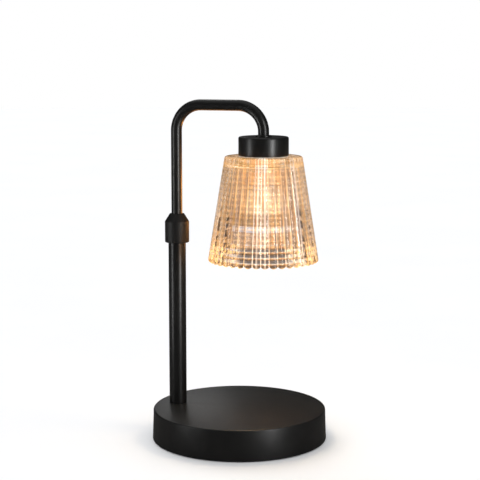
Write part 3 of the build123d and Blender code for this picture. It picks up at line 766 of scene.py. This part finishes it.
# ---- Post and clamp collar ----
post_radius, post_bore = 8.0, 6.8
post_tube = lathe(
    [(post_bore, post_bottom), (post_radius, post_bottom), (post_radius, post_top), (post_bore, post_top)],
    post_axis, steps=96, roundings=[(1, 0.25), (2, 0.3)],
)
add_piece("post_tube", post_tube, black_satin, "stand", ["lower_tube"])

collar_radius, collar_cone_top, collar_thread = 11.1, 6.6, 8.1
collar_throat, collar_pocket = 5.3, 7.5
collar_shoulder = collar_top - 7.2
pocket_bottom, pocket_top = 196.8, 200.4
clamp_collar = lathe(
    [
        (collar_thread, collar_bottom), (collar_radius, collar_bottom), (collar_radius, collar_shoulder),
        (collar_cone_top, collar_top), (collar_throat, collar_top), (collar_throat, pocket_top),
        (collar_pocket, pocket_top), (collar_pocket, pocket_bottom), (collar_thread, pocket_bottom),
    ],
    post_axis, steps=96, roundings=[(1, 0.7), (2, 0.35), (3, 0.35), (4, 0.3)],
)
add_piece("clamp_collar", clamp_collar, black_matt, "collar", ["lock_collar"])


# ---- Arm ----
def draw(shape, edges, step):
    """Extrudes a ring of edges along a straight line and returns the new ring."""
    made = bmesh.ops.extrude_edge_only(shape, edges=edges)["geom"]
    bmesh.ops.translate(shape, verts=[v for v in made if isinstance(v, bmesh.types.BMVert)], vec=step)
    return [e for e in made if isinstance(e, bmesh.types.BMEdge) and len(e.link_faces) == 1]


def swing(shape, edges, centre):
    """Spins a ring of edges a quarter turn about a level axis across the arm and returns the new ring."""
    rings = {v for e in edges for v in e.verts}
    made = bmesh.ops.spin(
        shape, geom=list(rings) + edges, cent=centre, axis=(0, 1, 0), angle=pi / 2, steps=24
    )["geom_last"]
    return [e for e in made if isinstance(e, bmesh.types.BMEdge)]


def bent_tube(radius, bore, end, bend):
    """Gooseneck tube: a ring drawn up the post, over two quarter bends and down into the cup to its end.
    The tube then gets its wall. Measures are in millimetres."""
    shape = bmesh.new()
    arm_low, arm_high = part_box("upper_tube")
    bend_level = arm_high.z - radius * MM - bend * MM
    sideways = Vector((bend * MM, 0, 0))
    left = Vector((*post_axis, bend_level)) + sideways
    right_end = Vector((*shade_axis, bend_level)) - sideways
    bmesh.ops.create_circle(
        shape, segments=48, radius=radius * MM, matrix=Matrix.Translation((*post_axis, arm_low.z))
    )
    edges = draw(shape, shape.edges[:], Vector((0, 0, bend_level - arm_low.z)))
    edges = swing(shape, edges, left)
    edges = draw(shape, edges, right_end - left)
    edges = swing(shape, edges, right_end)
    draw(shape, edges, Vector((0, 0, end * MM - bend_level)))
    bmesh.ops.recalc_face_normals(shape, faces=shape.faces)
    bmesh.ops.solidify(shape, geom=shape.faces[:], thickness=(radius - bore) * MM)
    return shape


neck = bent_tube(radius=5.0, bore=4.0, end=265.5, bend=23.5)
add_piece("gooseneck", neck, black_satin, "arm", ["upper_tube"])

# ---- Cup over the shade ----
disc_radius, disc_bore, disc_top = 7.5, 5.05, cup_top + 1.2
neck_disc = lathe(
    [(disc_bore, cup_top), (disc_radius, cup_top), (disc_radius, disc_top), (disc_bore, disc_top)],
    shade_axis, steps=96, roundings=[(2, 0.5)],
)
add_piece("neck_disc", neck_disc, black_satin, "arm", ["cup_flange"])

cup_radius, cup_inner, cup_hole, cup_ceiling = 22.6, 21.6, 5.25, cup_top - 1.0
lamp_cup = lathe(
    [
        (cup_inner, cup_bottom), (cup_radius, cup_bottom), (cup_radius, cup_top), (cup_hole, cup_top),
        (cup_hole, cup_ceiling), (cup_inner, cup_ceiling),
    ],
    shade_axis, steps=160, roundings=[(0, 0.2), (1, 0.4), (2, 1.6), (5, 0.8)],
)
add_piece("lamp_cup", lamp_cup, black_satin, "arm", ["holder_cup"])

# ---- Reeded glass shade ----
ring_pitch = 5.0
ring_place = shade_bottom + 4.1
foot_rings_top = ring_place + 2.5 * ring_pitch
ceiling_height = shade_top - 7.5
rim_height = shade_bottom + 0.5
dashes_top = shade_bottom + 62.0
# panel_turn turns the middle of one panel to face the camera, so its painted dark foot rows face it and the
# painted sparks and dashes fall to its sides
panel_turn = -1.27


def reeded_shade():
    """Pressed glass: upright reeds outside, level rings inside, a thick plate on top with the fixing hole."""
    bottom, top, ceiling = shade_bottom, shade_top, ceiling_height
    foot, crown, wall, hole = 50.1, 34.9, 4.0, 18.0
    reeds, reed_depth, steps_per_reed = 40, 0.9, 8
    ring_depth, foot_ring_depth, ring_parts = 0.35, 0.6, 8
    foot_lift, foot_reach = 2.1, 6.0
    slope = (foot - crown) / (top - bottom)

    def crest(height):
        return foot - slope * (height - bottom)

    first = ring_place - ring_pitch / 2
    rings = int((ceiling - first) / ring_pitch)
    inner = []
    for i in range(rings * ring_parts + 1):
        height = first + ring_pitch * i / ring_parts
        depth = foot_ring_depth if height < foot_rings_top else ring_depth
        inner.append((crest(height) - wall - depth * sin(pi * i / ring_parts) ** 2, height))
    outline = [
        (crest(bottom) - wall + 0.5, bottom + 0.25), (crest(bottom) - wall + 0.05, bottom + 1.0), *inner,
        (crest(ceiling) - wall - 0.4, ceiling - 0.35), (crest(ceiling) - wall - 1.2, ceiling),
        (hole, ceiling), (hole, top), (crest(top) - 1.4, top), (crest(top) - 0.7, top - 0.2),
        (crest(top) - 0.2, top - 0.7), (crest(top - 1.5), top - 1.5), (crest(bottom + 30), bottom + 30),
        (crest(bottom + 2.2), bottom + 2.2), (crest(bottom + 1.2) - 0.1, bottom + 1.2),
        (crest(bottom + 0.5) - 0.5, bottom + 0.5), (crest(bottom) - 1.1, bottom + 0.1),
        (crest(bottom) - 2.0, bottom), (crest(bottom) - 2.9, bottom),
    ]
    shape = lathe(outline, shade_axis, steps=reeds * steps_per_reed)
    for vert in shape.verts:
        x, y, height = vert.co.x - shade_axis[0], vert.co.y - shade_axis[1], vert.co.z / MM
        radius = sqrt(x * x + y * y) / MM
        outward = min(max((radius - crest(height) + wall) / wall, 0.0), 1.0)
        turn_share = atan2(y, x) / (2 * pi) * reeds
        side = 2 * abs(turn_share - round(turn_share))
        near_foot = max(0.0, 1 - (height - bottom) / foot_reach)
        pull = (radius - reed_depth * outward * side * side) / radius
        vert.co.x = shade_axis[0] + x * pull
        vert.co.y = shade_axis[1] + y * pull
        vert.co.z += foot_lift * MM * side * side * near_foot * near_foot
    return shape


def glass_tint_and_painted_shade(tree, position, given, dashes, clear, painted_shade_tones, row_shade_colour, dash_shade_colour):
    """Colour of the pressed glass with painted shade in it: darker in its strokes, flanks and rings, where
    the reeds would refract dark. Some panels get painted dark rows between the rings of the foot, the others
    painted dark upright strokes, and the side dashes are painted dark too."""
    between_depth, thin_depth = 0.55, 0.58
    between = times(tree, inverse(tree, given["Valleys"]), inverse(tree, given["Rings"]))
    foot = inverse(tree, height_band(tree, position, foot_rings_top - 1.0, foot_rings_top + 4.0))
    flanks = times(tree, given["Flanks"], ranged(tree, given["Reed Tone"], 0.75, 0.4))
    # shadow is painted shade in the strokes, on the reeds' flanks and between the rings
    shadow = maths(tree, "MAXIMUM", inverse(tree, given["Strokes"]), flanks)
    shadow = maths(tree, "MAXIMUM", shadow, times(tree, between, between_depth))
    bright = mixed(tree, given["Hue"], *clear)
    tint_with_painted_shade = mixed(tree, shadow, bright, mixed(tree, given["Hue"], *painted_shade_tones))
    rows = times(tree, between, foot, given["Panels"])
    thin = times(tree, given["Thin Strokes"], inverse(tree, given["Panels"]), thin_depth)
    tint_with_painted_shade = mixed(tree, maths(tree, "MAXIMUM", rows, thin), tint_with_painted_shade, row_shade_colour)
    return mixed(tree, dashes, tint_with_painted_shade, dash_shade_colour)


def glass_painted_gleam(tree, position, given, dashes, shine):
    """Painted light in the glass's emission, for the lamplight that the reeds would catch: painted highlights
    in the valleys and on chosen crests, painted strokes, painted glints at the foot, and painted bright lines
    at the ceiling and rim.
    """
    reed_glow, spark_glow, ceiling_glow, rim_glow = 0.65, 0.85, 0.35, 0.7
    tone = given["Reed Tone"]
    ceiling = times(
        tree, height_band(tree, position, ceiling_height - 1.5, ceiling_height - 0.9),
        inverse(tree, height_band(tree, position, ceiling_height - 0.1, ceiling_height + 0.5)),
    )
    rim = inverse(tree, height_band(tree, position, rim_height, rim_height + 0.9))
    low_part = inverse(tree, height_band(tree, position, foot_rings_top - 4.0, foot_rings_top + 12.0))
    bright_reeds = times(tree, spread(tree, tone, 0.93, 0.98), reed_glow)
    lines = maths(tree, "MAXIMUM", ranged(tree, tone, 0.26, 0.42), bright_reeds)
    painted_gleam = times(tree, given["Valleys"], lines)
    for mark in (
        times(tree, given["Fine Strokes"], ranged(tree, given["Rings"], 0.07, 0.3)),
        times(tree, given["Crests"], ranged(tree, spread(tree, tone, 0.93, 0.96), 0.0, 0.5)),
        times(tree, given["Sparks"], low_part, inverse(tree, given["Panels"]), spark_glow),
        times(tree, ceiling, ceiling_glow),
        times(tree, rim, rim_glow),
    ):
        painted_gleam = maths(tree, "MAXIMUM", painted_gleam, mark)
    painted_gleam = times(tree, painted_gleam, inverse(tree, dashes))
    whiter = times(tree, spread(tree, tone, 0.6, 0.9), ranged(tree, low_part, 1.0, 0.55))
    return mixed(tree, painted_gleam, (0.0, 0.0, 0.0), mixed(tree, whiter, *shine))


def lit_glass(name, clear, painted_shade_tones, row_shade_colour, dash_shade_colour, shine, strength, roughness, wave):
    """Pressed glass around the lit lamp, with painted light and shade in it: its emission paints lamplight,
    highlights and glints, its colour paints dark strokes, rows and dashes, and the warm clear colour is
    partly painted lamplight. clear, the dark shade tones and shine are (cool, warm) colours. Its shadow is a
    plain tint, so that the lamp's light gets out."""
    material, tree, shader, position = new_finish(
        name, Transmission_Weight=1.0, IOR=1.5, Roughness=roughness, Emission_Strength=strength
    )
    given = place_group(
        tree, STROKES, about_axis(tree, position, shade_axis), Ring_Pitch=ring_pitch * MM,
        Ring_Place=ring_place * MM, Panel_Turn=panel_turn,
    )
    dashed_part = inverse(tree, height_band(tree, position, dashes_top - 20.0, dashes_top))
    dashes = times(tree, given["Side Dashes"], dashed_part)
    tint_with_painted_shade = glass_tint_and_painted_shade(tree, position, given, dashes, clear, painted_shade_tones, row_shade_colour, dash_shade_colour)
    gleam = glass_painted_gleam(tree, position, given, dashes, shine)
    feed(tree, tint_with_painted_shade, shader.inputs["Base Color"])
    feed(tree, gleam, shader.inputs["Emission Color"])
    raised(tree, shader, given["Height"], wave)
    clear_to_lamps = new_node(tree, "BsdfTransparent", {"Color": clear[1]})[0]
    in_shadow = new_node(tree, "LightPath", {})["Is Shadow Ray"]
    either = new_node(tree, "MixShader", {"Fac": in_shadow, 1: shader.outputs[0], 2: clear_to_lamps})[0]
    feed(tree, either, tree.nodes["Material Output"].inputs["Surface"])
    return material


# Painted light and shade: this glass's emission paints lamplight, highlights and glints, and its dark rows
# and dashes are painted shade
shade_glass = lit_glass(
    "pressed_glass",
    clear=((0.98, 0.92, 0.88), (1.0, 0.81, 0.6)),
    painted_shade_tones=((0.47, 0.39, 0.365), (0.72, 0.46, 0.27)),
    row_shade_colour=(0.19, 0.15, 0.13),
    dash_shade_colour=(0.03, 0.02, 0.02),
    shine=((1.0, 0.57, 0.19), (1.0, 0.93, 0.86)),
    strength=0.85, roughness=0.015, wave=0.09,
)
add_piece("reeded_shade", reeded_shade(), shade_glass, "arm", ["glass_shade"], sharp=28.0)


# ---- Lampholder ----
def threaded(low, high, radius, pitch, depth):
    """Outside line of a round thread, from low to high."""
    turns = int((high - low) / pitch)
    rise = (high - low) / turns
    line = []
    for i in range(turns):
        foot = low + (high - low) * i / turns
        line += [(radius, foot + 0.2 * rise), (radius, foot + 0.5 * rise)]
        line += [(radius - depth, foot + 0.72 * rise), (radius - depth, foot + 0.98 * rise)]
    return line


def ribbed_cap():
    """Cap of the lampholder, with upright grip ribs around its side."""
    cap_radius, cap_inner, neck_radius, neck_bore, wire_hole = 17.4, 16.4, 8.0, 5.1, 4.4
    plate_bottom, plate_top = 262.5, 265.5
    ribs, rib_depth, ribbed_beyond = 48, 0.35, 16.9
    shape = lathe(
        [
            (cap_inner, cap_bottom), (17.0, cap_bottom), (cap_radius, cap_bottom + 0.4),
            (cap_radius, plate_bottom + 1.4), (16.2, plate_top), (neck_radius, plate_top),
            (neck_radius, cap_top), (neck_bore, cap_top), (neck_bore, plate_top), (wire_hole, plate_top),
            (wire_hole, plate_bottom), (cap_inner, plate_bottom),
        ],
        shade_axis, steps=192, roundings=[(3, 0.6), (6, 0.4)],
    )
    for vert in shape.verts:
        x, y = vert.co.x - shade_axis[0], vert.co.y - shade_axis[1]
        radius = sqrt(x * x + y * y)
        if radius > ribbed_beyond * MM:
            sunk = rib_depth * MM * sin(ribs / 2 * atan2(y, x)) ** 2
            vert.co.x -= x / radius * sunk
            vert.co.y -= y / radius * sunk
    return shape


add_piece("lampholder_cap", ribbed_cap(), lampholder_painted_glow, "arm", ["holder_cap"])

skirt_bore, skirt_thread, joint_radius = 15.2, 17.4, 16.3
skirt = lathe(
    [
        (skirt_bore, skirt_bottom), (16.8, skirt_bottom),
        *threaded(skirt_bottom + 1.0, cap_bottom - 0.6, skirt_thread, 1.9, 0.5), (17.2, cap_bottom),
        (joint_radius, cap_bottom), (joint_radius, skirt_top), (skirt_bore, skirt_top),
    ],
    shade_axis, steps=128, roundings=[(1, 0.5)],
)
add_piece("lampholder_skirt", skirt, lampholder_painted_glow, "arm", ["holder_skirt"])


# ---- Lamp ----
def patchy_colour(tree, position, shader, colour, grain, patch):
    """Base colour that dims a little in slow patches; returns the patches."""
    effect = place_group(tree, GRAIN, position, Grain_Scale=grain, Patch_Scale=patch)
    patched = mixed(tree, effect["Patches"], colour, dimmed(colour, 0.9))
    feed(tree, patched, shader.inputs["Base Color"])
    return effect["Patches"]


def glowing(name, colour, glow, strength, roughness):
    """A surface that gives off warm light, a little dimmer in its patches."""
    material, tree, shader, position = new_finish(name, Roughness=roughness, Emission_Strength=strength)
    patches = patchy_colour(tree, position, shader, colour, 500.0, 120.0)
    feed(tree, mixed(tree, patches, glow, dimmed(glow, 0.85)), shader.inputs["Emission Color"])
    return material


def glowing_bell(name, colour, dim, bright, rim, strength):
    """The mirror bell: light leaks through it near the neck and at the rim, and less between. The cool white
    band at the lens edge is a painted highlight.
    """
    material, tree, shader, position = new_finish(name, Roughness=0.2, Emission_Strength=strength)
    patches = patchy_colour(tree, position, shader, colour, 700.0, 150.0)
    upper = height_band(tree, position, bell_front + 13.0, bell_front + 22.0)
    lower = inverse(tree, height_band(tree, position, bell_front + 5.5, bell_front + 6.5))
    # lens_edge carries a painted cool white highlight along the lens edge
    lens_edge = inverse(tree, height_band(tree, position, bell_front + 4.4, bell_front + 5.0))
    leaking = maths(tree, "MAXIMUM", times(tree, upper, ranged(tree, patches, 0.6, 1.0)), lower)
    leak = mixed(tree, leaking, dim, bright)
    feed(tree, mixed(tree, lens_edge, leak, rim), shader.inputs["Emission Color"])
    return material


lit_bell = glowing_bell(
    "lit_reflector", (0.42, 0.38, 0.31), dim=(0.24, 0.16, 0.09), bright=(1.0, 0.8, 0.56),
    rim=(0.62, 0.71, 0.86), strength=1.12,
)
lit_front = glowing("lit_front_glass", (0.95, 0.9, 0.8), glow=(1.0, 0.78, 0.46), strength=14.0, roughness=0.2)


def bell_line(rim, neck, low, high):
    """Arc from the rim up to the neck, through a middle that is fuller than a straight cone."""
    fullness, arc_parts = 0.62, 14
    ax, ay = rim, low
    bx, by = neck + fullness * (rim - neck), (low + high) / 2
    cx, cy = neck, high
    turn_sum = 2 * (ax * (by - cy) + bx * (cy - ay) + cx * (ay - by))
    squares = ax * ax + ay * ay, bx * bx + by * by, cx * cx + cy * cy
    middle_x = (squares[0] * (by - cy) + squares[1] * (cy - ay) + squares[2] * (ay - by)) / turn_sum
    middle_y = (squares[0] * (cx - bx) + squares[1] * (ax - cx) + squares[2] * (bx - ax)) / turn_sum
    first = atan2(ay - middle_y, ax - middle_x)
    last = atan2(cy - middle_y, cx - middle_x)
    reach = sqrt((ax - middle_x) ** 2 + (ay - middle_y) ** 2)
    angles = [first + (last - first) * i / arc_parts for i in range(arc_parts + 1)]
    return [(middle_x + reach * cos(angle), middle_y + reach * sin(angle)) for angle in angles]


bell_rim, bell_rim_inner, bell_neck_radius, bell_neck_inner = 25.0, 23.5, 13.5, 12.0
bell_shoulder = bell_front + 3.0
bell = lathe(
    [
        (bell_rim_inner, bell_front), (bell_rim - 0.4, bell_front), (bell_rim, bell_front + 0.5),
        *bell_line(bell_rim, bell_neck_radius, bell_shoulder, bell_neck), (bell_neck_inner, bell_neck),
        *reversed(bell_line(bell_rim_inner, bell_neck_inner, bell_shoulder, bell_neck)[:-1]),
    ],
    shade_axis, steps=128,
)
add_piece("lamp_bell", bell, lit_bell, "bulb", ["bulb_reflector"], sharp=40.0)

front_radius = 23.3
lamp_front = lathe(
    [
        (0.0, front_bottom + 0.25), (8.0, front_bottom + 0.25), (12.0, front_bottom + 0.35),
        (20.5, front_bottom + 0.55), (21.3, front_bottom), (front_radius, front_bottom),
        (front_radius, front_top), (0.0, front_top),
    ],
    shade_axis, steps=96, roundings=[(5, 0.3)],
)
add_piece("lamp_front", lamp_front, lit_front, "bulb", ["bulb_lens"])

lamp_base_radius, groove_radius, plug_radius = 13.5, 13.0, 11.8
lamp_base = lathe(
    [
        (0.0, lamp_base_bottom), (plug_radius, lamp_base_bottom), (plug_radius, bell_neck),
        (lamp_base_radius, bell_neck), (lamp_base_radius, bell_neck + 4.0), (groove_radius, bell_neck + 4.4),
        (groove_radius, bell_neck + 5.4), (lamp_base_radius, bell_neck + 5.8),
        (lamp_base_radius, lamp_base_top), (0.0, lamp_base_top),
    ],
    shade_axis, steps=96, roundings=[(8, 0.9)],
)
add_piece("lamp_base", lamp_base, lamp_ceramic, "bulb", ["bulb_base"])

pin_radius, pin_head_radius, pin_spacing, pin_head = 1.5, 2.5, 10.0, pin_top - 2.9
pins = joined(*[
    lathe(
        [
            (0.0, pin_bottom), (pin_radius, pin_bottom), (pin_radius, pin_head), (pin_head_radius, pin_head),
            (pin_head_radius, pin_top), (0.0, pin_top),
        ],
        (shade_axis[0], side * pin_spacing / 2 * MM), steps=32, roundings=[(3, 0.4), (4, 0.9)],
    )
    for side in (-1, 1)
])
add_piece("lamp_pins", pins, zinc, "bulb", ["bulb_pins"])

# ---- Spare lead curled in the post ----
lead_low, lead_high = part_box("slack_lead")


def curled_lead():
    """Two wires wound side by side about the post's axis."""
    wire, winding, turns, steps = 1.1 * MM, 3.8 * MM, 5, 20
    end_room = 1.2 * wire
    rise = (lead_high.z - lead_low.z - 2 * end_room) / (turns * steps)
    coils = []
    for side in (0.0, pi):
        shape = bmesh.new()
        place = Matrix.Translation((*post_axis, lead_low.z + end_room)) @ Matrix.Rotation(side, 4, "Z")
        tilt = Matrix.Rotation(radians(75), 4, "X")
        bmesh.ops.create_circle(
            shape, segments=10, radius=wire, cap_ends=True,
            matrix=place @ Matrix.Translation((winding, 0, 0)) @ tilt,
        )
        bmesh.ops.spin(
            shape, geom=shape.verts[:] + shape.edges[:] + shape.faces[:], cent=(*post_axis, 0),
            axis=(0, 0, 1), dvec=(0, 0, rise), angle=turns * 2 * pi, steps=turns * steps,
        )
        bmesh.ops.recalc_face_normals(shape, faces=shape.faces)
        coils.append(shape)
    return joined(*coils)


stretch = ("stand", "guide", (*post_axis, lead_low.z), (*post_axis, lead_high.z))
add_piece("curled_lead", curled_lead(), wire_cover, stretch, ["slack_lead"])

# ---- Finishes of the carried-over pieces ----
for material, carried in (
    (cast_iron, ["base_weight"]),
    (zinc, [
        "weight_nuts", "bottom_plate", "terminal_screws", "block_screw", "post_foot", "post_washer",
        "post_nut", "bush_clips", "cup_washer", "socket_screws",
    ]),
    (nylon, ["terminal_block", "stop_sleeve", "clamp_collet", "guide_bush"]),
    (brass, ["terminal_poles", "clamp_seat", "cup_nut", "socket_contacts"]),
    (wire_cover, ["lower_lead", "arm_lead"]),
    (steatite, ["socket_core"]),
    (aluminium, ["shade_ring"]),
    (silicone, ["upper_gasket", "lower_gasket"]),
    (lit_front, ["bulb_capsule"]),
):
    for node in carried:
        nodes[node].data.materials.clear()
        nodes[node].data.materials.append(material)

bpy.context.scene.view_settings.view_transform = "Standard"
